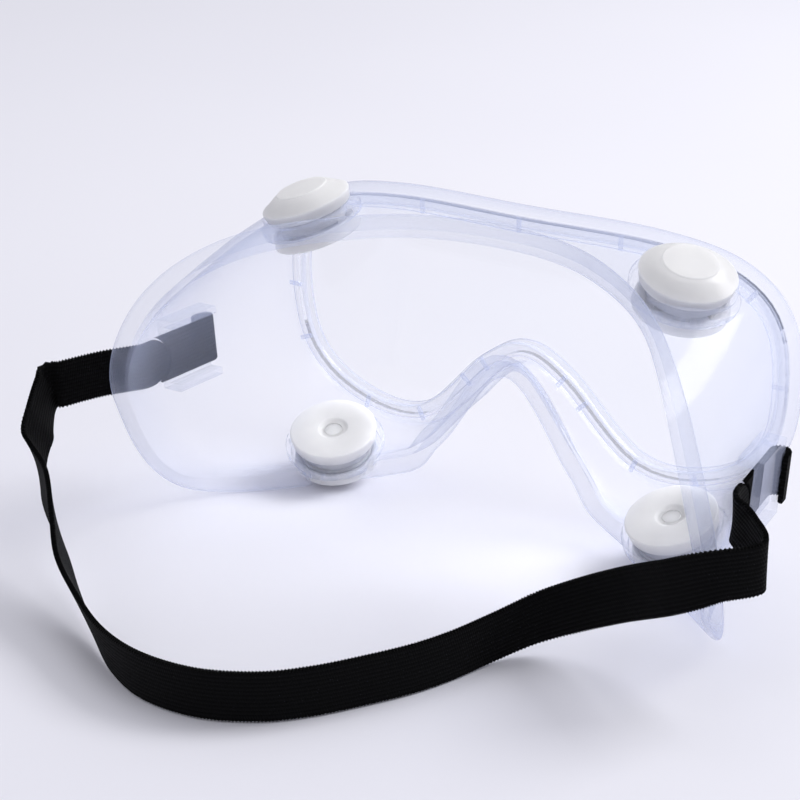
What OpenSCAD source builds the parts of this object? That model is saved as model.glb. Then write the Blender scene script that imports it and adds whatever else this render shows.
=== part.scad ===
/* [Face frame] */
// Width across the face rim
face_w = 160; // [140:1:190]
// Height of the face rim, floor to crown
face_h = 76; // [68:1:90]
// How far the temples reach back behind the middle of the brow
face_wrap = 52; // [40:1:64]
// Depth from the lens to the rim at the bridge of the nose
frame_depth = 11.5; // [9:0.5:22]
// Thickness of the moulded wall
wall_t = 1.8; // [1.4:0.1:2.6]
// Width of the soft lip that lies on the face
lip_w = 4; // [3:0.5:6]

/* [Lens] */
// Distance from the face rim in to the window at each side
side_margin = 16; // [14:0.5:22]
// Distance from the crown of the face rim down to the window
top_margin = 5; // [3:0.5:9]
// Distance from the floor up to the window
bottom_margin = 19; // [16:0.5:24]
// Thickness of the lens
lens_t = 2; // [1.5:0.1:3]
// Backward lean of the lens, in degrees
lens_lean = 3; // [0:1:10]
// Depth of the groove that holds the lens
groove_depth = 3; // [2:0.25:4]
// Width of the border around the window
border_w = 6; // [5:0.25:8]

/* [Vents] */
// Diameter of a vent cap
cap_d = 22; // [22:0.5:27]
// Height of a vent cap
cap_h = 5.8; // [4.8:0.2:7]
// Outer diameter of the vent seat's barrel
barrel_d = 17; // [14:0.5:17]
// Thickness of the moulded boss round each vent
boss_t = 3; // [2.4:0.2:5]
// Place of the upper vents, as a share of half the face width
upper_vent_share = 0.625; // [0.55:0.005:0.7]
// Place of the lower vents, as a share of half the face width
lower_vent_share = 0.6; // [0.55:0.005:0.66]

/* [Side lugs] */
// Length of the lug along the temple
lug_l = 15; // [12:0.5:20]
// Thickness of the lug's outer bar
lug_bar_t = 2; // [1.6:0.2:3]
// Thickness of the lug's upper and lower legs
lug_leg_t = 1.8; // [1.4:0.2:3]
// Height of the lug's middle above the floor
lug_z = 37; // [33:0.5:42]
// Angle of the lug in towards the lens, in degrees
lug_flare = 6; // [0:1:8]
// Angle of the lug's foot in towards the face, in degrees
lug_lean = 4; // [0:1:6]

/* [Head strap] */
// Width of the elastic strap
strap_w = 12; // [10:0.5:15]
// Thickness of the elastic strap
strap_t = 1.2; // [0.8:0.1:2]
// Length of the strap's tail outside the lug
tail_l = 2; // [1:0.5:18]

/* [Hidden] */
$fn = 64;

// Named clearances
groove_gap = 0.05;
lens_edge_gap = 0.2;
barrel_gap = 0.05;
stem_gap = 0.05;
strap_gap = 0.25;
pivot_gap = 0.3;
eps = 0.01;

// Curve helpers: a closed Catmull-Rom curve through hand-set points, and its outward offset
steps = 6;
function cr(a, b, c, d, t) =
    0.5 * (2 * b + (c - a) * t + (2 * a - 5 * b + 4 * c - d) * t * t
    + (3 * b - a - 3 * c + d) * t * t * t);
function closed_curve(p) = let (n = len(p))
    [for (i = [0:n - 1], k = [0:steps - 1])
        cr(p[(i + n - 1) % n], p[i], p[(i + 1) % n], p[(i + 2) % n], k / steps)];
function mirrored(top, half, nose) = concat([[0, top]], half, [[0, nose]],
    [for (i = [len(half) - 1:-1:0]) [-half[i][0], half[i][1]]]);
function unit(v) = v / norm(v);
function normal_at(c, i) = let (n = len(c), t = unit(c[(i + 1) % n] - c[(i + n - 1) % n])) [-t[1], t[0]];
function grown(c, d) = [for (i = [0:len(c) - 1]) c[i] + d * normal_at(c, i)];

// Outline of the face rim, as shares of the half width and of the height
rim_half = [[0.40, 0.995], [0.725, 0.935], [0.92, 0.735], [1, 0.405], [0.895, 0.025],
    [0.375, 0.065], [0.22, 0.205]];
rim = [for (p = closed_curve(mirrored(1, rim_half, 0.48))) [p[0] * face_w / 2, p[1] * face_h]];
lip_root = grown(rim, -lip_w);

// Outline of the window, as shares of its half width and of its height
window_half = [[0.54, 1], [0.86, 0.92], [1, 0.695], [0.98, 0.25], [0.785, 0.025],
    [0.485, 0], [0.19, 0.34]];
window_w = face_w - 2 * side_margin;
window_h = face_h - top_margin - bottom_margin;
window = [for (p = closed_curve(mirrored(1, window_half, 0.45)))
    [p[0] * window_w / 2, bottom_margin + p[1] * window_h]];
border = grown(window, border_w);
groove = grown(window, groove_depth);

// Depth of the face rim and of the lens plane at a place on the front view
mid_h = face_h / 2;
rim_mid_y = -18;
lens_y = rim_mid_y - frame_depth;
rise_share = 0.08;
temple_lean = 9;
function rim_y(p) = let (s = pow(2 * p[0] / face_w, 2), h = p[1] - mid_h)
    rim_mid_y + face_wrap * s + rise_share * h + temple_lean * s * h / mid_h;
function plane_y(p) = lens_y + tan(lens_lean) * (p[1] - mid_h);

// The moulded section, from the window's front edge round the outside to the groove
lip_t = 1.6;
edge_r = 0.8;
bulge = 2.2;
near_share = 0.33;
far_share = 0.67;
near_bulge = 0.9 * bulge;
far_bulge = 0.8 * bulge;
flange_wall = 1.6;
flange_t = lens_t / 2 + flange_wall;
half_groove = lens_t / 2 + groove_gap;
function at_plane(c, i, y) = [c[i][0], plane_y(c[i]) + y, c[i][1]];
function at_rim(c, i, y) = [c[i][0], rim_y(rim[i]) + y, c[i][1]];
function between(a, b, t, lift, n) = a + (b - a) * t + lift * [n[0], 0, n[1]];
wall_in = grown(border, -wall_t);
lip_in = grown(lip_root, -wall_t);
border_face = grown(border, -edge_r);
rim_back = grown(rim, -edge_r);
function section(i) = let (
    front_out = at_plane(border, i, flange_t - edge_r),
    back_out = at_rim(lip_root, i, -lip_t),
    front_in = at_plane(wall_in, i, flange_t),
    back_in = at_rim(lip_in, i, 0),
    n = normal_at(border, i))
    [at_plane(window, i, -flange_t), at_plane(border_face, i, -flange_t),
     at_plane(border, i, edge_r - flange_t), front_out,
     between(front_out, back_out, near_share, near_bulge, n),
     between(front_out, back_out, far_share, far_bulge, n),
     back_out, at_rim(rim_back, i, -lip_t), at_rim(rim, i, -lip_t / 2), at_rim(rim_back, i, 0), back_in,
     between(front_in, back_in, far_share, far_bulge, n), between(front_in, back_in, near_share, near_bulge, n),
     front_in, at_plane(window, i, flange_t), at_plane(window, i, half_groove),
     at_plane(groove, i, half_groove), at_plane(groove, i, -half_groove), at_plane(window, i, -half_groove)];

// A closed ring swept from sections that all have the same number of points
module ring_sweep(sections) {
    n = len(sections);
    m = len(sections[0]);
    polyhedron(points = [for (s = sections) each s],
        faces = [for (i = [0:n - 1], k = [0:m - 1]) let (a = i * m, b = ((i + 1) % n) * m, l = (k + 1) % m)
            each [[a + k, b + l, b + k], [a + k, a + l, b + l]]]);
}

// A solid swept from its first section to its last, with flat ends; each section runs
// anticlockwise seen along the sweep
module rod_sweep(sections) {
    n = len(sections);
    m = len(sections[0]);
    polyhedron(points = [for (s = sections) each s],
        faces = concat([[for (k = [m - 1:-1:0]) k]], [[for (k = [0:m - 1]) (n - 1) * m + k]],
            [for (i = [0:n - 2], k = [0:m - 1]) let (a = i * m, b = a + m, l = (k + 1) % m)
                each [[a + k, b + l, b + k], [a + k, a + l, b + l]]]));
}

// Vents: each has a middle point on the wall, part way from the border to the lip, and an outward
// direction; the wall's height is found where the outlines cross the vent's distance from the middle
function crossings(c, x) = let (n = len(c))
    [for (i = [0:n - 1]) let (a = c[i], b = c[(i + 1) % n])
        if ((a[0] - x) * (b[0] - x) < 0) a[1] + (b[1] - a[1]) * (x - a[0]) / (b[0] - a[0])];
function on_wall(f, b, share, lift) =
    [f[0], plane_y(f) + share * (rim_y(b) - plane_y(f)), f[1] + share * (b[1] - f[1]) + lift];
upper_vent_x = upper_vent_share * face_w / 2;
lower_vent_x = lower_vent_share * face_w / 2;
upper_share = 0.469;
lower_share = 0.604;
upper_inset = 1.4;
lower_inset = 1;
upper_vent = [on_wall([upper_vent_x, max(crossings(border, upper_vent_x))],
    [upper_vent_x, max(crossings(lip_root, upper_vent_x))], upper_share, -upper_inset), [0.25, 0.17, 0.95]];
lower_vent = [on_wall([lower_vent_x, min(crossings(border, lower_vent_x))],
    [lower_vent_x, min(crossings(lip_root, lower_vent_x))], lower_share, lower_inset), [0.1, -0.3, -0.95]];
function flipped(v, side) = [side * v[0], v[1], v[2]];
module on_vent(v, side) {
    d = unit(flipped(v[1], side));
    translate(flipped(v[0], side)) rotate([0, acos(d[2]), atan2(d[1], d[0])]) children();
}
barrel_r = barrel_d / 2;
barrel_wall = 1.2;
pocket_gap = 0.6;
pocket_wall = 1;
pocket_r = cap_d / 2 + pocket_gap;
boss_r = pocket_r + pocket_wall;
hole_r = barrel_r + barrel_gap;
seat_flange_w = 0.7;
seat_flange_r = barrel_r + seat_flange_w;
seat_flange_t = 0.9;
air_slot_h = 1.3;
air_slot_w = 5;
air_slots = 6;
disc_t = 2.4;
disc_edge = 0.7;
dimple_r = 3.3;
dimple_depth = 0.5;
skirt_gap = 0.3;
skirt_taper = 0.5;
cap_wall = 1;
cut_h = 9;
cut_margin = 1;
stem_r = 2.2;

module boss_solid() { cylinder(h = boss_t, r = boss_r, center = true); }
module boss_cut() {
    cylinder(h = boss_t + 2 * cut_margin, r = hole_r, center = true);
    for (s = [0, 1]) mirror([0, 0, s]) translate([0, 0, boss_t / 2]) cylinder(h = cut_h, r = pocket_r);
}
module each_vent() {
    for (v = [upper_vent, lower_vent], side = [-1, 1]) on_vent(v, side) children();
}
module shell() { ring_sweep([for (i = [0:len(rim) - 1]) section(i)]); }
module frame() {
    color("lightcyan", 0.5) difference() {
        union() {
            shell();
            each_vent() boss_solid();
        }
        each_vent() boss_cut();
    }
}

lens_edge = grown(window, groove_depth - lens_edge_gap);
module lens() {
    n = len(lens_edge);
    color("white", 0.3) rod_sweep([for (s = [1, -1])
        [for (i = [0:n - 1]) at_plane(lens_edge, i, s * lens_t / 2)]]);
}

// Vent seat: a barrel through the boss, with a flange outside and a skirted disc inside. Air passes
// through slots in the barrel under the disc's skirt, and the cap's stem sits in the disc's hub.
module vent_seat(v, side) {
    top = boss_t / 2;
    disc_z = -top - air_slot_h;
    foot_z = disc_z - disc_t;
    hollow_r = barrel_r - barrel_wall;
    disc_r = cap_d / 2;
    bore_r = stem_r + stem_gap;
    color("whitesmoke") on_vent(v, side) difference() {
        rotate_extrude() polygon([[bore_r, foot_z + dimple_depth], [dimple_r, foot_z + dimple_depth],
            [dimple_r + disc_edge, foot_z], [disc_r - disc_edge, foot_z], [disc_r, foot_z + disc_edge],
            [disc_r - skirt_taper, -top - skirt_gap], [disc_r - skirt_taper - cap_wall, -top - skirt_gap],
            [disc_r - skirt_taper - cap_wall, disc_z], [barrel_r, disc_z], [barrel_r, top],
            [seat_flange_r, top], [seat_flange_r, top + seat_flange_t],
            [hollow_r, top + seat_flange_t], [hollow_r, disc_z], [bore_r, disc_z]]);
        for (k = [0:air_slots - 1]) rotate([0, 0, k * 360 / air_slots])
            translate([stem_r, -air_slot_w / 2, disc_z + eps])
                cube([barrel_r + skirt_gap - stem_r, air_slot_w, air_slot_h - eps]);
    }
}

// Vent cap: a raised flat top, a sloping shoulder, a skirt over the seat's flange and a stem
cap_base = boss_t / 2 + skirt_gap;
cap_top_r = 0.57 * cap_d / 2;
cap_round = 0.4;
stem_foot = -boss_t / 2 - air_slot_h - disc_t + dimple_depth;
module vent_cap(v, side) {
    r = cap_d / 2;
    skirt_r = r - skirt_taper;
    shoulder_z = cap_base + 0.5 * cap_h;
    roof_z = cap_base + cap_h - 2 * cap_wall;
    brow_z = cap_base + 0.92 * cap_h;
    color("white") on_vent(v, side) rotate_extrude()
        polygon([[0, stem_foot], [stem_r, stem_foot], [stem_r, roof_z],
            [cap_top_r, roof_z], [r - cap_wall, shoulder_z - cap_wall], [skirt_r - cap_wall, cap_base],
            [skirt_r, cap_base], [r, shoulder_z - cap_round], [r - cap_round, shoulder_z],
            [cap_top_r + cap_round, brow_z], [cap_top_r, cap_base + cap_h - cap_round / 2],
            [cap_top_r - cap_round / 2, cap_base + cap_h],
            [0, cap_base + cap_h]]);
}

// Side lugs: an outer bar on two legs, open fore and aft for the strap
wall_inset = 5.4;
temple_x = face_w / 2 - wall_inset;
slot_w = 2.6;
slot_extra = 1.2;
wall_gap = 1.2;
leg_bite = 1;
lug_y = -2;
lug_h = strap_w + 2 * slot_extra + 2 * lug_leg_t;
bar_x = temple_x + slot_w + wall_gap;
leg_l = slot_w + leg_bite;
lug_back = lug_y + lug_l;
// The lug and its loop of strap turn together about the back end of the slot
module on_temple(side) {
    mirror([side < 0 ? 1 : 0, 0, 0]) translate([bar_x, lug_back, lug_z])
        rotate([0, lug_lean, -lug_flare]) translate([-bar_x, -lug_back, -lug_z]) children();
}
module lug(side) {
    color("lightcyan", 0.6) difference() {
        on_temple(side) translate([0, lug_y, lug_z - lug_h / 2]) {
            translate([bar_x, 0, 0]) cube([lug_bar_t, lug_l, lug_h]);
            for (z = [0, lug_h - lug_leg_t]) translate([bar_x - leg_l, 0, z])
                cube([leg_l + eps, lug_l, lug_leg_t]);
        }
        shell();
    }
}

// Strap ends: each passes through its lug, turns round the bar and lies outside it
strap_x = bar_x - strap_gap - strap_t;
pivot_y = lug_back + strap_w / 2;
strap_mid_x = strap_x + strap_t / 2 + tan(lug_flare) * strap_w / 2;
module strap_end(side) {
    turn_r = lug_bar_t / 2 + strap_gap;
    color("black") difference() {
        on_temple(side) translate([0, 0, lug_z - strap_w / 2]) {
            translate([strap_x, lug_y, 0]) cube([strap_t, pivot_y - lug_y, strap_w]);
            translate([bar_x + lug_bar_t / 2, lug_y, 0]) rotate([0, 0, 180]) rotate_extrude(angle = 180)
                translate([turn_r, 0]) square([strap_t, strap_w]);
            translate([bar_x + lug_bar_t + strap_gap, lug_y, 0]) cube([strap_t, tail_l, strap_w]);
        }
        translate([side * strap_mid_x, pivot_y, lug_z]) rotate([0, 90, 0])
            cylinder(h = 2 * slot_w, r = strap_w / 2 + pivot_gap, center = true);
    }
}

// Route of the free strap's middle line, from the left lug round the back to the right lug.
// The ends are counted from the lugs. The rest lies where the strap was laid down, with its
// third number counted up from a strap that stands on the floor, and widens with the lugs.
floor_gap = 0.15;
strap_mid_z = strap_w / 2 + floor_gap;
left_route = [[0.6, 2.8, 0], [3.4, 7, 0], [7.5, 11.5, -0.5], [12.5, 18, -1.5], [15.2, 20.8, -2.5],
    [11, 29, -7]];
laid_route = [[86.2, 53, 18.4], [78, 59.5, 13.9], [66.8, 68.5, 9.4], [57.2, 76.5, 4.7], [45, 84.3, 1.2],
    [33, 91.5, 0], [20, 96, 0], [6, 95.5, 0], [-6, 90, 0], [-14, 82.5, 0], [-21, 73, 0], [-27, 63.5, 0],
    [-31, 54.5, 0], [-34.5, 45, 0.4], [-40.5, 37, 2.9], [-49.5, 34, 7.4], [-60.5, 34.5, 13.4],
    [-73, 38, 20.4], [-82, 37.5, 24.9]];
laid_half = 78.2;
right_route = [[10.8, 12.5, -5], [10, 8.6, -4.4], [5.4, 5, -2.6], [0.9, 2.4, -0.7]];
strap_start = [strap_mid_x, pivot_y, lug_z];
strap_finish = [-strap_mid_x, pivot_y, lug_z];
strap_route = concat([strap_start], [for (p = left_route) strap_start + p],
    [for (p = laid_route) [p[0] * strap_mid_x / laid_half, p[1], p[2] + strap_mid_z]],
    [for (p = right_route) strap_finish + [-p[0], p[1], p[2]]], [strap_finish]);
strap_steps = 4;
function open_curve(p) = let (n = len(p))
    concat([for (i = [0:n - 2], k = [0:strap_steps - 1])
        cr(p[max(i - 1, 0)], p[i], p[i + 1], p[min(i + 2, n - 1)], k / strap_steps)], [p[n - 1]]);
strap_line = open_curve(strap_route);
// Both ends are rounded about the pivot: each entry is a middle point and half the width there
end_angles = [75, 60, 45, 30, 15];
function round_end(p, side) = let (lead = [side * sin(lug_flare), cos(lug_flare), 0])
    [for (a = end_angles) [p - strap_w / 2 * sin(a) * lead, strap_w / 2 * cos(a)]];
function backwards(c) = [for (i = [len(c) - 1:-1:0]) c[i]];
strap_stations = concat(round_end(strap_start, 1), [for (p = strap_line) [p, strap_w / 2]],
    backwards(round_end(strap_finish, -1)));
function strap_section(i) = let (n = len(strap_stations),
    t = unit(strap_stations[min(i + 1, n - 1)][0] - strap_stations[max(i - 1, 0)][0]),
    s = strap_t / 2 * unit(cross(t, [0, 0, 1])), c = strap_stations[i][0], w = [0, 0, strap_stations[i][1]])
    [c - w - s, c - w + s, c + w + s, c + w - s];
module strap() {
    color("black") rod_sweep([for (i = [0:len(strap_stations) - 1]) strap_section(i)]);
}

frame();
lens();
lug(1);  // lug_left
lug(-1);  // lug_right
strap();
strap_end(1);  // strap_end_left
strap_end(-1);  // strap_end_right
vent_seat(upper_vent, 1);  // vent_seat_upper_left
vent_seat(upper_vent, -1);  // vent_seat_upper_right
vent_seat(lower_vent, 1);  // vent_seat_lower_left
vent_seat(lower_vent, -1);  // vent_seat_lower_right
vent_cap(upper_vent, 1);  // vent_cap_upper_left
vent_cap(upper_vent, -1);  // vent_cap_upper_right
vent_cap(lower_vent, 1);  // vent_cap_lower_left
vent_cap(lower_vent, -1);  // vent_cap_lower_right
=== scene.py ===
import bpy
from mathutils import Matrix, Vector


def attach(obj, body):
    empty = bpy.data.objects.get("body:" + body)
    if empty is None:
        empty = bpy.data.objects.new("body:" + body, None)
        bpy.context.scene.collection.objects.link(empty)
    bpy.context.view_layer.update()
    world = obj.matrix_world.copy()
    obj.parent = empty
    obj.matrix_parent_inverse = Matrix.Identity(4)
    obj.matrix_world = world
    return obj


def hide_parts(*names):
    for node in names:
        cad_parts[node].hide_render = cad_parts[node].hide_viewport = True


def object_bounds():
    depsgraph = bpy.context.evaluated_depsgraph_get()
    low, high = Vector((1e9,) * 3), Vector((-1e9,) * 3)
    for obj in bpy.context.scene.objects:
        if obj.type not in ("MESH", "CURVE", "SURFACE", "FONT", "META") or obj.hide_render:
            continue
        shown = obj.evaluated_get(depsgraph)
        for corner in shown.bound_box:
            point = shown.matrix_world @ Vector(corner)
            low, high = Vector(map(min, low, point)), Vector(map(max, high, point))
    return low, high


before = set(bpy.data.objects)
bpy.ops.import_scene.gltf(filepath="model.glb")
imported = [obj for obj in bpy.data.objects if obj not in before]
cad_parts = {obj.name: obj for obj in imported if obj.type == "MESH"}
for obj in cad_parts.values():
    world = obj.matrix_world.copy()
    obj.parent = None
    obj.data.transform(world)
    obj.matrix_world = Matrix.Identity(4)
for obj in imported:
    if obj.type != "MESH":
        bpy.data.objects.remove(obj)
cadBox = [list(map(float, corner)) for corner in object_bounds()]

import math

import bpy
from mathutils import Matrix, Vector

mm = 0.001


def clearSelection():
    if bpy.context.object and bpy.context.object.mode != "OBJECT":
        bpy.ops.object.mode_set(mode="OBJECT")
    bpy.ops.object.select_all(action="DESELECT")


def makeActive(piece):
    clearSelection()
    piece.select_set(True)
    bpy.context.view_layer.objects.active = piece


def meshPiece(name, points, faces):
    mesh = bpy.data.meshes.new(name)
    mesh.from_pydata(points, [], faces)
    mesh.update()
    piece = bpy.data.objects.new(name, mesh)
    bpy.context.collection.objects.link(piece)
    return piece


def applyModifier(piece, kind, **settings):
    makeActive(piece)
    modifier = piece.modifiers.new(kind.lower(), kind)
    for key, value in settings.items():
        setattr(modifier, key, value)
    bpy.ops.object.modifier_apply(modifier=modifier.name)


def fixNormals(piece, merge=0.000002):
    makeActive(piece)
    bpy.ops.object.mode_set(mode="EDIT")
    bpy.ops.mesh.select_all(action="SELECT")
    bpy.ops.mesh.remove_doubles(threshold=merge)
    bpy.ops.mesh.normals_make_consistent(inside=False)
    bpy.ops.object.mode_set(mode="OBJECT")


def smooth(piece, angle=35):
    makeActive(piece)
    bpy.ops.object.shade_smooth_by_angle(angle=math.radians(angle))


def dress(piece, material, body):
    piece.data.materials.clear()
    piece.data.materials.append(material)
    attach(piece, body)


def curvePoint(a, b, c, d, t):
    return 0.5 * (2 * b + (c - a) * t + (2 * a - 5 * b + 4 * c - d) * t * t
                  + (3 * b - a - 3 * c + d) * t ** 3)


def closedCurve(points, steps):
    n = len(points)
    return [curvePoint(points[i - 1], points[i], points[(i + 1) % n], points[(i + 2) % n], k / steps)
            for i in range(n) for k in range(steps)]


def openCurve(points, steps):
    n = len(points)
    line = [curvePoint(points[max(i - 1, 0)], points[i], points[i + 1], points[min(i + 2, n - 1)], k / steps)
            for i in range(n - 1) for k in range(steps)]
    return line + [points[-1]]


def grown(curve, distance):
    n = len(curve)
    out = []
    for i, p in enumerate(curve):
        along = (curve[(i + 1) % n] - curve[i - 1]).normalized()
        out.append(p + distance * Vector((-along.y, along.x)))
    return out


def drum(name, radius, low, high, matrix, vertices=96, bevel=0):
    clearSelection()
    bpy.ops.mesh.primitive_cylinder_add(vertices=vertices, radius=radius * mm, depth=(high - low) * mm,
                                        location=(0, 0, (low + high) / 2 * mm))
    piece = bpy.context.object
    piece.name = name
    bpy.ops.object.transform_apply()
    if bevel:
        applyModifier(piece, "BEVEL", width=bevel * mm, segments=3, limit_method="ANGLE")
    piece.data.transform(matrix)
    return piece


def joinWith(piece, other, operation):
    applyModifier(piece, "BOOLEAN", operation=operation, object=other, solver="EXACT")
    bpy.data.objects.remove(other, do_unlink=True)


def newMaterial(name):
    material = bpy.data.materials.new(name)
    material.use_nodes = True
    tree = material.node_tree
    tree.nodes.clear()
    output = tree.nodes.new("ShaderNodeOutputMaterial")
    shader = tree.nodes.new("ShaderNodeBsdfPrincipled")
    tree.links.new(shader.outputs["BSDF"], output.inputs["Surface"])
    return material, tree, shader, output


def mouldedGroup():
    # Slow ripple and fine grain of a moulded surface, with a mask of its handling marks
    group = bpy.data.node_groups.new("mouldedSurface", "ShaderNodeTree")
    face = group.interface
    for label, value in (("Ripple Scale", 60.0), ("Grain Scale", 900.0), ("Grain Share", 0.2),
                         ("Base Roughness", 0.1), ("Roughness Spread", 0.05)):
        socket = face.new_socket(label, in_out="INPUT", socket_type="NodeSocketFloat")
        socket.default_value = value
    face.new_socket("Height", in_out="OUTPUT", socket_type="NodeSocketFloat")
    face.new_socket("Roughness", in_out="OUTPUT", socket_type="NodeSocketFloat")
    face.new_socket("Cloud", in_out="OUTPUT", socket_type="NodeSocketFloat")
    nodes, links = group.nodes, group.links
    inside = nodes.new("NodeGroupInput")
    outside = nodes.new("NodeGroupOutput")
    place = nodes.new("ShaderNodeTexCoord")
    ripple = nodes.new("ShaderNodeTexNoise")
    ripple.inputs["Detail"].default_value = 2
    grain = nodes.new("ShaderNodeTexNoise")
    grain.inputs["Detail"].default_value = 3
    mixed = nodes.new("ShaderNodeMix")
    spread = nodes.new("ShaderNodeMath")
    spread.operation = "MULTIPLY_ADD"
    for noise, label in ((ripple, "Ripple Scale"), (grain, "Grain Scale")):
        links.new(place.outputs["Object"], noise.inputs["Vector"])
        links.new(inside.outputs[label], noise.inputs["Scale"])
    links.new(inside.outputs["Grain Share"], mixed.inputs["Factor"])
    links.new(ripple.outputs["Fac"], mixed.inputs["A"])
    links.new(grain.outputs["Fac"], mixed.inputs["B"])
    links.new(ripple.outputs["Fac"], spread.inputs[0])
    links.new(inside.outputs["Roughness Spread"], spread.inputs[1])
    links.new(inside.outputs["Base Roughness"], spread.inputs[2])
    links.new(mixed.outputs["Result"], outside.inputs["Height"])
    links.new(spread.outputs["Value"], outside.inputs["Roughness"])
    links.new(ripple.outputs["Fac"], outside.inputs["Cloud"])
    return group


moulded = mouldedGroup()


def addMoulded(tree, shader, bump, distance, **values):
    group = tree.nodes.new("ShaderNodeGroup")
    group.node_tree = moulded
    for label, value in values.items():
        group.inputs[label].default_value = value
    relief = tree.nodes.new("ShaderNodeBump")
    relief.inputs["Strength"].default_value = bump
    relief.inputs["Distance"].default_value = distance
    tree.links.new(group.outputs["Height"], relief.inputs["Height"])
    tree.links.new(relief.outputs["Normal"], shader.inputs["Normal"])
    tree.links.new(group.outputs["Roughness"], shader.inputs["Roughness"])
    return group


def tinted(tree, shader, factor, low, high, start=0.35, end=0.65):
    ramp = tree.nodes.new("ShaderNodeValToRGB")
    ramp.color_ramp.elements[0].position = start
    ramp.color_ramp.elements[0].color = (*low, 1)
    ramp.color_ramp.elements[1].position = end
    ramp.color_ramp.elements[1].color = (*high, 1)
    tree.links.new(factor, ramp.inputs["Fac"])
    tree.links.new(ramp.outputs["Color"], shader.inputs["Base Color"])


def letLampsThrough(tree, shader, output, shade):
    # Light from the lamps passes a clear part with only a little loss
    passing = tree.nodes.new("ShaderNodeBsdfTransparent")
    passing.inputs["Color"].default_value = (*shade, 1)
    rays = tree.nodes.new("ShaderNodeLightPath")
    mix = tree.nodes.new("ShaderNodeMixShader")
    tree.links.new(rays.outputs["Is Shadow Ray"], mix.inputs["Fac"])
    tree.links.new(shader.outputs["BSDF"], mix.inputs[1])
    tree.links.new(passing.outputs["BSDF"], mix.inputs[2])
    tree.links.new(mix.outputs["Shader"], output.inputs["Surface"])


def clearVinyl():
    # A soft clear film: nearly unseen face on, and pale blue where the view runs along a wall
    look = {"clear": (0.70, 0.77, 1.0), "edge": (0.56, 0.61, 0.83), "least": 0.02, "most": 0.72, "line": 0.24,
            "blend": 0.5, "sharpness": 2.4, "shade": (0.94, 0.945, 0.965)}
    material, tree, shader, output = newMaterial("clearVinyl")
    group = addMoulded(tree, shader, 0.1, 0.0005, **{"Ripple Scale": 55.0, "Grain Share": 0.05,
                       "Base Roughness": 0.05, "Roughness Spread": 0.1})
    weight = tree.nodes.new("ShaderNodeLayerWeight")
    weight.inputs["Blend"].default_value = look["blend"]
    sharp = tree.nodes.new("ShaderNodeMath")
    sharp.operation = "POWER"
    sharp.inputs[1].default_value = look["sharpness"]
    tree.links.new(weight.outputs["Facing"], sharp.inputs[0])
    spread = tree.nodes.new("ShaderNodeMapRange")
    spread.inputs["To Min"].default_value = look["least"]
    spread.inputs["To Max"].default_value = look["most"]
    tree.links.new(sharp.outputs["Value"], spread.inputs["Value"])
    cloudy = tree.nodes.new("ShaderNodeMath")
    cloudy.operation = "MULTIPLY_ADD"
    cloudy.inputs[1].default_value = 0.03
    tree.links.new(group.outputs["Cloud"], cloudy.inputs[0])
    tree.links.new(spread.outputs["Result"], cloudy.inputs[2])
    # Painted edge lines: a vertex attribute makes the film denser at the section's corners and on the channel
    # ribs, standing in for the glints and refraction lines along those edges
    paintedLines = tree.nodes.new("ShaderNodeAttribute")
    paintedLines.attribute_name = "paintedEdgeLine"
    denser = tree.nodes.new("ShaderNodeMath")
    denser.operation = "MULTIPLY_ADD"
    denser.inputs[1].default_value = look["line"]
    denser.use_clamp = True
    tree.links.new(paintedLines.outputs["Fac"], denser.inputs[0])
    tree.links.new(cloudy.outputs["Value"], denser.inputs[2])
    tree.links.new(denser.outputs["Value"], shader.inputs["Alpha"])
    tinted(tree, shader, sharp.outputs["Value"], look["clear"], look["edge"], 0.05, 0.75)
    shader.inputs["IOR"].default_value = 1.5
    shader.inputs["Specular IOR Level"].default_value = 0.9
    letLampsThrough(tree, shader, output, look["shade"])
    return material


def clearLens():
    look = {"low": (0.97, 0.98, 0.995), "high": (0.99, 0.995, 1.0), "shade": (0.96, 0.965, 0.975)}
    material, tree, shader, output = newMaterial("clearLens")
    group = addMoulded(tree, shader, 0.02, 0.0003, **{"Ripple Scale": 18.0, "Grain Share": 0.0,
                       "Base Roughness": 0.0, "Roughness Spread": 0.012})
    tinted(tree, shader, group.outputs["Cloud"], look["low"], look["high"])
    shader.inputs["Transmission Weight"].default_value = 1.0
    shader.inputs["IOR"].default_value = 1.3
    letLampsThrough(tree, shader, output, look["shade"])
    return material


def milkyPlastic(name, low, high, roughness):
    material, tree, shader, _ = newMaterial(name)
    group = addMoulded(tree, shader, 0.15, 0.0002, **{"Ripple Scale": 140.0, "Grain Share": 0.5,
                       "Base Roughness": roughness, "Roughness Spread": 0.12})
    tinted(tree, shader, group.outputs["Cloud"], low, high)
    shader.inputs["IOR"].default_value = 1.48
    shader.inputs["Subsurface Weight"].default_value = 0.85
    shader.inputs["Subsurface Radius"].default_value = (1.0, 1.0, 1.0)
    shader.inputs["Subsurface Scale"].default_value = 0.005
    return material


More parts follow.
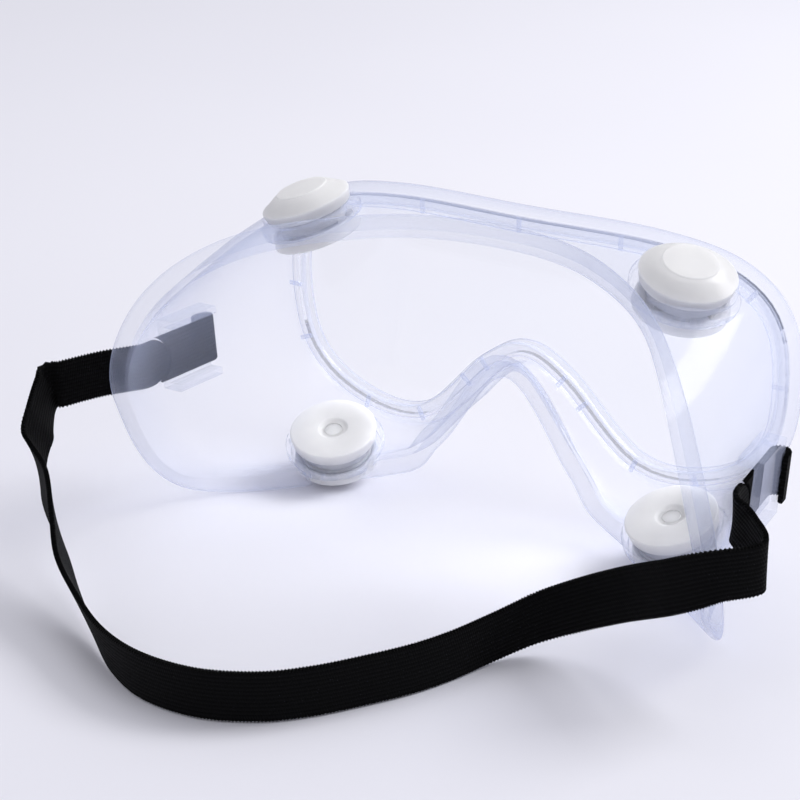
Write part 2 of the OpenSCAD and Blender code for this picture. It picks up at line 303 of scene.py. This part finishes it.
def wovenElastic():
    # UV runs in metres: U along the strap and V across it
    weave = {"ribPitch": 0.00095, "pickPitch": 0.00055}
    material, tree, shader, _ = newMaterial("wovenElastic")
    nodes, links = tree.nodes, tree.links
    place = nodes.new("ShaderNodeUVMap")
    place.uv_map = "strapMetres"
    split = nodes.new("ShaderNodeSeparateXYZ")
    links.new(place.outputs["UV"], split.inputs["Vector"])

    def wave(source, pitch, shift=None):
        turn = nodes.new("ShaderNodeMath")
        turn.operation = "MULTIPLY_ADD"
        turn.inputs[1].default_value = 2 * math.pi / pitch
        links.new(source, turn.inputs[0])
        if shift is not None:
            links.new(shift, turn.inputs[2])
        sine = nodes.new("ShaderNodeMath")
        sine.operation = "SINE"
        links.new(turn.outputs["Value"], sine.inputs[0])
        return sine

    ribs = wave(split.outputs["Y"], weave["ribPitch"])
    half = nodes.new("ShaderNodeMath")
    half.operation = "MULTIPLY"
    half.inputs[1].default_value = math.pi / weave["ribPitch"]
    links.new(split.outputs["Y"], half.inputs[0])
    picks = wave(split.outputs["X"], weave["pickPitch"], half.outputs["Value"])
    knit = nodes.new("ShaderNodeMath")
    knit.operation = "MULTIPLY_ADD"
    knit.inputs[1].default_value = 0.45
    links.new(picks.outputs["Value"], knit.inputs[0])
    links.new(ribs.outputs["Value"], knit.inputs[2])
    fuzz = nodes.new("ShaderNodeTexNoise")
    fuzz.inputs["Scale"].default_value = 1400
    coordinate = nodes.new("ShaderNodeTexCoord")
    links.new(coordinate.outputs["Object"], fuzz.inputs["Vector"])
    rough = nodes.new("ShaderNodeMath")
    rough.operation = "MULTIPLY_ADD"
    rough.inputs[1].default_value = 0.25
    rough.inputs[2].default_value = 0.62
    links.new(fuzz.outputs["Fac"], rough.inputs[0])
    links.new(rough.outputs["Value"], shader.inputs["Roughness"])
    spread = nodes.new("ShaderNodeMapRange")
    spread.inputs["From Min"].default_value = -1.4
    spread.inputs["From Max"].default_value = 1.4
    links.new(knit.outputs["Value"], spread.inputs["Value"])
    tinted(tree, shader, spread.outputs["Result"], (0.0006, 0.0006, 0.0008), (0.003, 0.003, 0.0034), 0.1, 0.9)
    relief = nodes.new("ShaderNodeBump")
    relief.inputs["Strength"].default_value = 0.6
    relief.inputs["Distance"].default_value = 0.00012
    links.new(knit.outputs["Value"], relief.inputs["Height"])
    links.new(relief.outputs["Normal"], shader.inputs["Normal"])
    shader.inputs["Sheen Weight"].default_value = 0.008
    shader.inputs["Sheen Roughness"].default_value = 0.4
    shader.inputs["Specular IOR Level"].default_value = 0.07
    return material


vinyl = clearVinyl()
lensSheet = clearLens()
capWhite = milkyPlastic("capWhite", (0.88, 0.88, 0.885), (0.92, 0.92, 0.92), 0.3)
seatWhite = milkyPlastic("seatWhite", (0.74, 0.735, 0.735), (0.78, 0.775, 0.77), 0.45)
elastic = wovenElastic()
print("materials ready")


def camera():
    shot = {"azimuth": 213.8, "elevation": 23.3, "roll": -1.1, "distance": 0.5, "lens": 95.5,
            "aim": (0.0159, 0.003, 0.0352)}
    a, e = math.radians(shot["azimuth"]), math.radians(shot["elevation"])
    back = Vector((math.sin(a) * math.cos(e), -math.cos(a) * math.cos(e), math.sin(e)))
    data = bpy.data.cameras.new("studyCamera")
    data.lens = shot["lens"]
    data.sensor_width = 36
    data.clip_start = 0.01
    view = bpy.data.objects.new("studyCamera", data)
    turn = (-back).to_track_quat("-Z", "Y").to_matrix().to_4x4()
    turn = turn @ Matrix.Rotation(math.radians(shot["roll"]), 4, "Z")
    view.matrix_world = Matrix.Translation(Vector(shot["aim"]) + back * shot["distance"]) @ turn
    bpy.context.collection.objects.link(view)
    bpy.context.scene.camera = view


camera()
print("camera ready")

lugSizes = {"length": 15, "height": 18, "bar": 2, "leg": 1.8, "barX": 78.4, "y": -2, "z": 37,
            "legLength": 3.8, "round": 0.6, "flare": 6, "lean": 4}


def templeMatrix(side):
    # The lug and its loop of strap turn together about the back end of the slot
    d = lugSizes
    pivot = Matrix.Translation(Vector((d["barX"], d["y"] + d["length"], d["z"])) * mm)
    flare = Matrix.Rotation(math.radians(-d["flare"]), 4, "Z")
    lean = Matrix.Rotation(math.radians(d["lean"]), 4, "Y")
    matrix = pivot @ flare @ lean @ pivot.inverted()
    return Matrix.Diagonal((-1, 1, 1, 1)) @ matrix if side < 0 else matrix


strapSizes = {"width": 12, "thickness": 1.2, "tooth": 0.55, "toothPitch": 0.75, "ribs": 12,
              "ribDepth": 0.028, "tail": 2, "midX": 78.18, "pivotY": 19, "pivotZ": 37, "pivotGap": 0.3,
              "floorGap": 0.15}
flat = strapSizes["width"] / 2 + strapSizes["floorGap"]
# Each place on the route has a fourth number: how far the band leans over, in degrees
leftRoute = [(0.6, 2.8, 0, 0), (3.4, 7, 0, 0), (7.5, 11.5, -0.5, 0), (12.5, 18, -1.5, 2),
             (15.2, 20.8, -2.5, 8), (11, 29, -7, 20)]
laidRoute = [(86.2, 53, 18.4, 18), (78, 59.5, 13.9, -2), (66.8, 68.5, 9.4, 12), (57.2, 76.5, 4.7, 22),
             (45, 84.3, 1.2, 18), (33, 91.5, 0, 10), (20, 96, 0, 3), (6, 95.5, 0, 0), (-6, 90, 0, 0),
             (-14, 82.5, 0, 0), (-21, 73, 0, 0), (-27, 63.5, 0, 0), (-31, 54.5, 0, 0), (-34.5, 45, 0.4, 0),
             (-40.5, 37, 2.9, 0), (-49.5, 34, 7.4, 0), (-60.5, 34.5, 13.4, 0), (-73, 38, 20.4, 0),
             (-82, 37.5, 24.9, 0)]
rightRoute = [(10.8, 12.5, -5, 0), (10, 8.6, -4.4, 0), (5.4, 5, -2.6, 0), (0.9, 2.4, -0.7, 0)]


def evenly(line, pitch):
    # Stations at one even spacing along a line of points, and each one's place on it
    lengths = [0.0]
    for a, b in zip(line, line[1:]):
        lengths.append(lengths[-1] + (b.xyz - a.xyz).length)
    count = max(2, round(lengths[-1] / pitch))
    out, k = [], 0
    for i in range(count + 1):
        want = lengths[-1] * i / count
        while k < len(line) - 2 and lengths[k + 1] < want:
            k += 1
        share = (want - lengths[k]) / max(lengths[k + 1] - lengths[k], 1e-9)
        out.append(line[k].lerp(line[k + 1], min(max(share, 0), 1)))
    return out, lengths[-1]


def ribbon(name, line, widths=None, upright=Vector((0, 0, 1))):
    # A woven band on edge: ribs run along it, and both selvages are toothed
    d = strapSizes
    line, length = evenly(line, d["toothPitch"] / 2)
    leans = [math.radians(p.w) for p in line]
    line = [p.xyz for p in line]
    n, ribs = len(line), d["ribs"] * 2
    points, metres = [], []
    for i, p in enumerate(line):
        along = (line[min(i + 1, n - 1)] - line[max(i - 1, 0)]).normalized()
        side = along.cross(upright).normalized()
        up = side.cross(along).normalized()
        turned = Matrix.Rotation(leans[i], 3, along)
        side, up = turned @ side, turned @ up
        half = d["width"] / 2 if widths is None else widths(i / (n - 1) * length, length)
        tooth = d["tooth"] * (i % 2)
        loop = []
        for face in (1, -1):
            for k in range(ribs + 1):
                share = (k / ribs * 2 - 1) * face
                rib = d["ribDepth"] * (1 if k % 2 else 0)
                edge = abs(share) == 1
                high = share * (half - (tooth if edge else 0.35 * (abs(share) > 0.99)))
                thick = (d["thickness"] / 2 - d["ribDepth"] + rib) * (0.55 if edge else 1)
                loop.append((p + up * high + side * (face * thick), high))
        for q, high in loop:
            points.append(q * mm)
            metres.append((i / (n - 1) * length * mm, high * mm))
    m = 2 * (ribs + 1)
    faces = [(i * m + k, i * m + (k + 1) % m, (i + 1) * m + (k + 1) % m, (i + 1) * m + k)
             for i in range(n - 1) for k in range(m)]
    faces += [tuple(reversed(range(m))), tuple((n - 1) * m + k for k in range(m))]
    piece = meshPiece(name, points, faces)
    layer = piece.data.uv_layers.new(name="strapMetres")
    for loop in piece.data.loops:
        layer.data[loop.index].uv = metres[loop.vertex_index]
    makeActive(piece)
    bpy.ops.object.mode_set(mode="EDIT")
    bpy.ops.mesh.select_all(action="SELECT")
    bpy.ops.mesh.normals_make_consistent(inside=False)
    bpy.ops.object.mode_set(mode="OBJECT")
    smooth(piece, 50)
    return piece


def headStrap():
    d = strapSizes
    start = Vector((d["midX"], d["pivotY"], d["pivotZ"], 0))
    finish = Vector((-d["midX"], d["pivotY"], d["pivotZ"], 0))
    rise = Vector((0, 0, flat, 0))
    route = ([start] + [start + Vector(p) for p in leftRoute] + [Vector(p) + rise for p in laidRoute]
             + [finish + Vector((-x, y, z, lean)) for x, y, z, lean in rightRoute] + [finish])
    middle = openCurve(route, 8)
    flare = math.radians(lugSizes["flare"])
    lead = -0.96 * d["width"] / 2 * Vector((math.sin(flare), math.cos(flare), 0, 0))
    line = [start + lead] + middle + [finish + Vector((-lead.x, lead.y, 0, 0))]

    def rounded(at, length):
        half = d["width"] / 2
        near = min(at, length - at)
        return half if near > half else math.sqrt(max(half ** 2 - (half - near) ** 2, 0.6))

    piece = ribbon("headStrap", line, rounded)
    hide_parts("strap")
    dress(piece, elastic, "head_strap")


def strapEnd(side, nodeName):
    d, lug = strapSizes, lugSizes
    turn = lug["bar"] / 2 + 0.25 + d["thickness"] / 2
    centre = Vector((lug["barX"] + lug["bar"] / 2, lug["y"], lug["z"]))
    inner = centre - Vector((turn, 0, 0))
    line = [inner + Vector((0, y, 0)) for y in (d["pivotY"] - lug["y"], lug["length"] - 4, 0)]
    for k in range(1, 12):
        angle = math.pi * k / 12
        line.append(centre + Vector((-turn * math.cos(angle), -turn * math.sin(angle), 0)))
    outer = centre + Vector((turn, 0, 0))
    line += [outer, outer + Vector((0, d["tail"] / 2, 0)), outer + Vector((0, d["tail"], 0))]
    matrix = templeMatrix(side)
    line = [(matrix @ (p * mm) / mm).to_4d() for p in line]
    for p in line:
        p.w = 0
    upright = (matrix.to_3x3() @ Vector((0, 0, 1))).normalized()
    piece = ribbon("strapEnd" + nodeName.split("_")[2].capitalize(), line, upright=upright)
    place = Vector((side * d["midX"], d["pivotY"], d["pivotZ"])) * mm
    across = Matrix.Translation(place) @ Matrix.Rotation(math.pi / 2, 4, "Y")
    joinWith(piece, drum("pivotCut", d["width"] / 2 + d["pivotGap"], -6, 6, across), "DIFFERENCE")
    smooth(piece, 50)
    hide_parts(nodeName)
    dress(piece, elastic, "goggles")


headStrap()
strapEnd(1, "strap_end_left")
strapEnd(-1, "strap_end_right")
print("strap ready")


def sideLug(side, nodeName):
    d = lugSizes
    blocks = [((d["barX"], d["barX"] + d["bar"]), (0, d["height"]))]
    for low in (0, d["height"] - d["leg"]):
        blocks.append(((d["barX"] - d["legLength"], d["barX"] + 0.5), (low, low + d["leg"])))
    piece = None
    for (x0, x1), (z0, z1) in blocks:
        clearSelection()
        bpy.ops.mesh.primitive_cube_add(size=1, location=((x0 + x1) / 2 * mm, (d["y"] + d["length"] / 2) * mm,
                                        (d["z"] - d["height"] / 2 + (z0 + z1) / 2) * mm))
        block = bpy.context.object
        block.scale = ((x1 - x0) * mm, d["length"] * mm, (z1 - z0) * mm)
        bpy.ops.object.transform_apply()
        if piece is None:
            piece = block
        else:
            joinWith(piece, block, "UNION")
    piece.name = "sideLug" + nodeName.split("_")[1].capitalize()
    piece.data.transform(templeMatrix(side))
    fixNormals(piece)
    applyModifier(piece, "BEVEL", width=d["round"] * mm, segments=3, limit_method="ANGLE",
                  angle_limit=math.radians(40))
    smooth(piece, 40)
    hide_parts(nodeName)
    dress(piece, vinyl, "goggles")


sideLug(1, "lug_left")
sideLug(-1, "lug_right")
print("lugs ready")

frameSizes = {"faceWidth": 160, "faceHeight": 76, "faceWrap": 52, "rimMiddleY": -18, "lensY": -29.5,
              "rise": 0.08, "templeLean": 9, "lensLean": 3, "windowWidth": 128, "windowHeight": 52,
              "windowTop": 71, "border": 6, "wall": 1.8, "lip": 4, "lipThickness": 1.6, "bulge": 2.2,
              "flangeWall": 1.6, "lensThickness": 2, "grooveDepth": 3, "grooveGap": 0.05, "steps": 12}
rimHalf = [(0.40, 0.995), (0.725, 0.935), (0.92, 0.735), (1, 0.405), (0.895, 0.025), (0.375, 0.065),
           (0.22, 0.205)]
windowHalf = [(0.54, 1), (0.86, 0.92), (1, 0.695), (0.98, 0.25), (0.785, 0.025), (0.485, 0), (0.19, 0.34)]


def mirroredOutline(top, half, nose, width, height, base):
    shares = [(0, top)] + half + [(0, nose)] + [(-x, z) for x, z in reversed(half)]
    points = [Vector((x * width / 2, base + z * height)) for x, z in shares]
    return closedCurve(points, frameSizes["steps"])


s = frameSizes
middleHeight = s["faceHeight"] / 2
rim = mirroredOutline(1, rimHalf, 0.48, s["faceWidth"], s["faceHeight"], 0)
window = mirroredOutline(1, windowHalf, 0.45, s["windowWidth"], s["windowHeight"],
                         s["windowTop"] - s["windowHeight"])


def rimDepth(p):
    share = (2 * p.x / s["faceWidth"]) ** 2
    high = p.y - middleHeight
    lean = s["templeLean"] * share * high / middleHeight
    return s["rimMiddleY"] + s["faceWrap"] * share + s["rise"] * high + lean


def planeDepth(p):
    return s["lensY"] + math.tan(math.radians(s["lensLean"])) * (p.y - middleHeight)


def shellSections():
    def atPlane(curve, i, y):
        return Vector((curve[i].x, planeDepth(curve[i]) + y, curve[i].y))

    def atRim(curve, i, y):
        return Vector((curve[i].x, rimDepth(rim[i]) + y, curve[i].y))

    border, wall, lip = s["border"], s["wall"], s["lip"]
    flange = s["lensThickness"] / 2 + s["flangeWall"]
    half = s["lensThickness"] / 2 + s["grooveGap"]
    windowCache = {}
    rimCache = {}

    def windowOut(d):
        if d not in windowCache:
            windowCache[d] = grown(window, d)
        return windowCache[d]

    def rimOut(d):
        if d not in rimCache:
            rimCache[d] = grown(rim, d)
        return rimCache[d]

    borderNormal = [(b - a).normalized() for a, b in zip(window, windowOut(border))]
    frontFace = [(0, -flange + 0.7), (0.25, -flange + 0.2), (0.8, -flange), (border - 1.6, -flange),
                 (border - 0.6, -flange + 0.25), (border - 0.15, -flange + 0.9), (border, -flange + 1.7)]
    lipLoop = [(-lip, -s["lipThickness"]), (-lip + 1.2, -1.55), (-0.9, -1.5), (-0.25, -1.25), (0, -0.8),
               (-0.25, -0.35), (-0.9, -0.1), (-lip + 1.0, 0), (-lip - wall + 0.9, -0.1), (-lip - wall, -0.7)]
    lensFace = [(border - wall, flange + 0.4), (border - wall - 0.35, flange - 0.9), (3.75, flange - 1.0),
                (3.35, flange - 0.3), (2.8, flange), (0.7, flange), (0.2, flange - 0.2), (0, flange - 0.7),
                (0, half), (s["grooveDepth"], half), (s["grooveDepth"], -half), (0, -half)]
    sections = []
    for i in range(len(rim)):
        lift = Vector((borderNormal[i].x, 0, borderNormal[i].y)) * s["bulge"]
        frontOut = atPlane(windowOut(border), i, flange - 0.8)
        backOut = atRim(rimOut(-lip), i, -s["lipThickness"])
        frontIn = atPlane(windowOut(border - wall), i, flange + 0.4)
        backIn = atRim(rimOut(-lip - wall), i, -0.7)
        ring = [atPlane(windowOut(d), i, y) for d, y in frontFace]
        ring.append(frontOut)
        for t in (0.2, 0.4, 0.6, 0.8):
            ring.append(frontOut.lerp(backOut, t) + lift * math.sin(math.pi * t) * 0.95)
        ring += [atRim(rimOut(d), i, y) for d, y in lipLoop]
        for t in (0.8, 0.6, 0.4, 0.2):
            ring.append(frontIn.lerp(backIn, t) + lift * math.sin(math.pi * t) * 0.95)
        ring += [atPlane(windowOut(d), i, y) for d, y in lensFace]
        sections.append(ring)
    return sections


ventPlaces = {"upper": ((50, -11, 71), (0.25, 0.17, 0.95)), "lower": ((48, -15.01, 9.52), (0.1, -0.3, -0.95))}
ventSizes = {"cap": 22, "capHeight": 5.8, "capWall": 1, "skirtTaper": 0.5, "skirtGap": 0.3, "barrel": 17,
             "boss": 3, "pocketGap": 0.6, "pocketWall": 1, "flange": 0.9, "stem": 2.2, "slots": 6,
             "slotHeight": 1.3, "slotWidth": 5, "disc": 2.4, "discEdge": 0.7, "dimple": 3.3,
             "dimpleDepth": 0.5}


def ventMatrix(row, side):
    place, way = ventPlaces[row]
    out = Vector((side * way[0], way[1], way[2])).normalized()
    turn = Matrix.Rotation(math.atan2(out.y, out.x), 4, "Z") @ Matrix.Rotation(math.acos(out.z), 4, "Y")
    return Matrix.Translation(Vector((side * place[0], place[1], place[2])) * mm) @ turn


ribPlaces = [(68, 45), (66, 30), (47, 16), (30, 17.5), (16, 29), (9.5, 34), (0, 75), (28, 74.5), (60, 66)]


def channelRibs(piece):
    # Small bars across the lens channel, and one ridge at the crown
    size = {"width": 1.1, "height": 0.7, "bevel": 0.25}
    border = grown(window, s["border"])
    flange = s["lensThickness"] / 2 + s["flangeWall"]
    ribs = []
    for x, z in ribPlaces:
        for side in ((-1, 1) if x else (1,)):
            want = Vector((side * x, z))
            i = min(range(len(border)), key=lambda k: (border[k] - want).length)
            low, high = window[i], border[i]
            reach = s["border"] - s["wall"] - 0.5
            middle = low + (high - low).normalized() * (reach / 2 + 0.3)
            clearSelection()
            bpy.ops.mesh.primitive_cube_add(size=1)
            rib = bpy.context.object
            rib.scale = (reach * mm, size["height"] * mm, size["width"] * mm)
            bpy.ops.object.transform_apply()
            applyModifier(rib, "BEVEL", width=size["bevel"] * mm, segments=2)
            way = (high - low).normalized()
            turn = Matrix.Rotation(-math.atan2(way.y, way.x), 4, "Y")
            depth = planeDepth(middle) + flange + size["height"] / 2 - 0.1
            rib.data.transform(Matrix.Translation(Vector((middle.x, depth, middle.y)) * mm) @ turn)
            # Each rib carries a painted edge line, standing in for the glints along its edges
            layer = rib.data.attributes.new("paintedEdgeLine", "FLOAT", "POINT")
            layer.data.foreach_set("value", [0.8] * len(rib.data.vertices))
            ribs.append(rib)
    clearSelection()
    for part in ribs + [piece]:
        part.select_set(True)
    bpy.context.view_layer.objects.active = piece
    bpy.ops.object.join()


def faceFrame():
    sections = shellSections()
    n, m = len(sections), len(sections[0])
    points = [p * mm for ring in sections for p in ring]
    faces = [(i * m + k, ((i + 1) % n) * m + k, ((i + 1) % n) * m + (k + 1) % m, i * m + (k + 1) % m)
             for i in range(n) for k in range(m)]
    piece = meshPiece("faceFrame", points, faces)
    # How strongly each corner of the section shows as a painted line in the clear vinyl, standing in for the
    # glints and refraction along that edge
    paintedLines = {0: 0.9, 1: 0.9, 5: 0.5, 6: 0.5, 12: 0.3, 13: 0.3, 14: 0.35, 15: 0.6, 16: 0.7, 17: 0.6,
             18: 0.35, 19: 0.3, 20: 0.35, 21: 0.45, 28: 0.5, 29: 0.9, 30: 0.5, 32: 0.9, 33: 0.9}
    layer = piece.data.attributes.new("paintedEdgeLine", "FLOAT", "POINT")
    layer.data.foreach_set("value", [paintedLines.get(k, 0.0) for _ in range(n) for k in range(m)])
    fixNormals(piece)
    v = ventSizes
    pocket = v["cap"] / 2 + v["pocketGap"]
    for row in ventPlaces:
        for side in (-1, 1):
            matrix = ventMatrix(row, side)
            boss = drum("boss", pocket + v["pocketWall"], -v["boss"] / 2, v["boss"] / 2, matrix, bevel=0.3)
            joinWith(piece, boss, "UNION")
    for row in ventPlaces:
        for side in (-1, 1):
            matrix = ventMatrix(row, side)
            joinWith(piece, drum("pocketOut", pocket, v["boss"] / 2, 9, matrix), "DIFFERENCE")
            joinWith(piece, drum("pocketIn", pocket, -9, -v["boss"] / 2, matrix), "DIFFERENCE")
            joinWith(piece, drum("hole", v["barrel"] / 2 + 0.05, -4, 4, matrix), "DIFFERENCE")
    channelRibs(piece)
    smooth(piece, 40)
    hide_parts("frame")
    dress(piece, vinyl, "goggles")


faceFrame()
print("face frame ready")


def turned(name, profile, vertices=72, bevel=0.25):
    # A ring is drawn and extruded along the profile of radius and height
    clearSelection()
    bpy.ops.mesh.primitive_circle_add(vertices=vertices, radius=profile[0][0] * mm, fill_type="NOTHING",
                                      location=(0, 0, profile[0][1] * mm))
    piece = bpy.context.object
    piece.name = name
    bpy.ops.object.transform_apply()
    bpy.ops.object.mode_set(mode="EDIT")
    bpy.ops.mesh.select_all(action="SELECT")
    for (radiusBefore, heightBefore), (radius, height) in zip(profile, profile[1:]):
        rise = (0, 0, (height - heightBefore) * mm)
        bpy.ops.mesh.extrude_region_move(TRANSFORM_OT_translate={"value": rise})
        share = radius / radiusBefore
        bpy.ops.transform.resize(value=(share, share, 1), center_override=(0, 0, height * mm))
    bpy.ops.object.mode_set(mode="OBJECT")
    return piece


def closeEnds(piece):
    makeActive(piece)
    bpy.ops.object.mode_set(mode="EDIT")
    bpy.ops.mesh.select_all(action="SELECT")
    bpy.ops.mesh.fill_holes(sides=0)
    bpy.ops.mesh.select_all(action="SELECT")
    bpy.ops.mesh.normals_make_consistent(inside=False)
    bpy.ops.object.mode_set(mode="OBJECT")


def capShape():
    v = ventSizes
    radius, high, wall = v["cap"] / 2, v["capHeight"], v["capWall"]
    base = v["boss"] / 2 + v["skirtGap"]
    skirt, shoulder, top = radius - v["skirtTaper"], base + 0.5 * high, base + high
    foot = -v["boss"] / 2 - v["slotHeight"] - v["disc"] + v["dimpleDepth"]
    profile = [(v["stem"] - 0.1, foot), (v["stem"], foot + 0.1), (v["stem"], top - 2 * wall),
               (0.57 * radius, top - 2 * wall), (radius - wall, shoulder - wall), (skirt - wall, base + 0.15),
               (skirt - wall + 0.15, base), (skirt - 0.25, base), (skirt, base + 0.25),
               (radius - 0.05, shoulder - 0.6), (radius, shoulder - 0.35), (radius - 0.06, shoulder - 0.12),
               (radius - 0.3, shoulder + 0.05), (0.86 * radius, base + 0.63 * high),
               (0.74 * radius, base + 0.79 * high), (0.66 * radius, base + 0.88 * high),
               (0.615 * radius, base + 0.915 * high), (0.585 * radius, base + 0.94 * high),
               (0.575 * radius, base + 0.97 * high), (0.56 * radius, top - 0.03), (0.54 * radius, top)]
    piece = turned("capShape", profile)
    closeEnds(piece)
    return piece


def seatShape():
    v = ventSizes
    top, barrel, edge = v["boss"] / 2, v["barrel"] / 2, v["discEdge"]
    low, radius, bore = -top - v["slotHeight"], v["cap"] / 2, v["stem"] + 0.05
    under = low - v["disc"]
    hollow, dimple = barrel - 1.2, v["dimple"]
    skirt, skirtEnd = radius - v["skirtTaper"], -top - v["skirtGap"]
    profile = [(bore, low), (bore, under + v["dimpleDepth"]), (dimple - 0.35, under + v["dimpleDepth"]),
               (dimple, under + v["dimpleDepth"] - 0.1), (dimple + 0.4, under + 0.1), (dimple + edge, under),
               (radius - edge, under), (radius - 0.35 * edge, under + 0.13 * edge),
               (radius - 0.1 * edge, under + 0.4 * edge), (radius, under + edge), (skirt, skirtEnd - 0.2),
               (skirt - 0.2, skirtEnd), (skirt - v["capWall"], skirtEnd), (skirt - v["capWall"], low),
               (barrel, low), (barrel, top), (barrel + 0.55, top), (barrel + 0.7, top + 0.15),
               (barrel + 0.7, top + 0.75), (barrel + 0.55, top + v["flange"]), (hollow, top + v["flange"]),
               (hollow, low), (bore, low)]
    piece = turned("seatShape", profile, vertices=96)
    fixNormals(piece)
    for k in range(v["slots"]):
        clearSelection()
        bpy.ops.mesh.primitive_cube_add(size=1, location=((barrel + v["stem"] + v["skirtGap"]) / 2 * mm,
                                        0, (low + v["slotHeight"] / 2) * mm))
        slot = bpy.context.object
        slotDepth = barrel + v["skirtGap"] - v["stem"]
        slot.scale = (slotDepth * mm, v["slotWidth"] * mm, (v["slotHeight"] - 0.02) * mm)
        bpy.ops.object.transform_apply()
        slot.data.transform(Matrix.Rotation(k * 2 * math.pi / v["slots"], 4, "Z"))
        joinWith(piece, slot, "DIFFERENCE")
    return piece


def placeVents():
    shapes = {"cap": (capShape(), capWhite, "white_cap"), "seat": (seatShape(), seatWhite, "white_seat")}
    for kind, (shape, material, slotName) in shapes.items():
        for row in ventPlaces:
            for side, sideName in ((1, "left"), (-1, "right")):
                piece = shape.copy()
                piece.data = shape.data.copy()
                piece.name = f"{kind}{row.capitalize()}{sideName.capitalize()}"
                bpy.context.collection.objects.link(piece)
                piece.data.transform(ventMatrix(row, side))
                smooth(piece, 28)
                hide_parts(f"vent_{kind}_{row}_{sideName}")
                body = f"cap_{row}_{sideName}" if kind == "cap" else "goggles"
                dress(piece, material, body)
        bpy.data.objects.remove(shape, do_unlink=True)


placeVents()
print("vents ready")

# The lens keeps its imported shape
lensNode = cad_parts["lens"]
lensNode.data.materials.clear()
lensNode.data.materials.append(lensSheet)


def stageFloor():
    look = {"size": 12, "low": (0.80, 0.80, 0.865), "high": (0.83, 0.83, 0.89)}
    clearSelection()
    bpy.ops.mesh.primitive_plane_add(size=look["size"], location=(0, 0, cadBox[0][2]))
    floor = bpy.context.object
    floor.name = "stageFloor"
    material, tree, shader, _ = newMaterial("paleFloor")
    noise = tree.nodes.new("ShaderNodeTexNoise")
    noise.inputs["Scale"].default_value = 2.5
    coordinate = tree.nodes.new("ShaderNodeTexCoord")
    tree.links.new(coordinate.outputs["Object"], noise.inputs["Vector"])
    tinted(tree, shader, noise.outputs["Fac"], look["low"], look["high"])
    shader.inputs["Roughness"].default_value = 0.9
    floor.data.materials.append(material)


def areaLamp(name, place, aim, size, power, colour=(1, 1, 1)):
    data = bpy.data.lights.new(name, "AREA")
    data.energy = power
    data.size = size
    data.color = colour
    lamp = bpy.data.objects.new(name, data)
    lamp.location = place
    lamp.rotation_euler = (Vector(aim) - Vector(place)).to_track_quat("-Z", "Y").to_euler()
    bpy.context.collection.objects.link(lamp)
    return lamp


def studio():
    areaLamp("keyLamp", (-0.62, -0.8, 0.9), (-0.1, -0.15, 0.0), 0.6, 9.5, (1, 0.995, 0.99))
    areaLamp("topLamp", (0.0, -0.2, 1.1), (0, -0.05, 0.03), 0.8, 2.5, (0.99, 0.99, 1.0))
    world = bpy.data.worlds.new("softRoom")
    world.use_nodes = True
    world.node_tree.nodes["Background"].inputs["Color"].default_value = (0.95, 0.945, 1.0, 1)
    world.node_tree.nodes["Background"].inputs["Strength"].default_value = 0.58
    bpy.context.scene.world = world
    bpy.context.scene.view_settings.view_transform = "Standard"
    bpy.context.scene.view_settings.look = "None"
    bounces = {"max_bounces": 32, "transmission_bounces": 32, "transparent_max_bounces": 32,
               "diffuse_bounces": 5}
    for label, value in bounces.items():
        setattr(bpy.context.scene.cycles, label, value)


stageFloor()
studio()
print("stage ready")
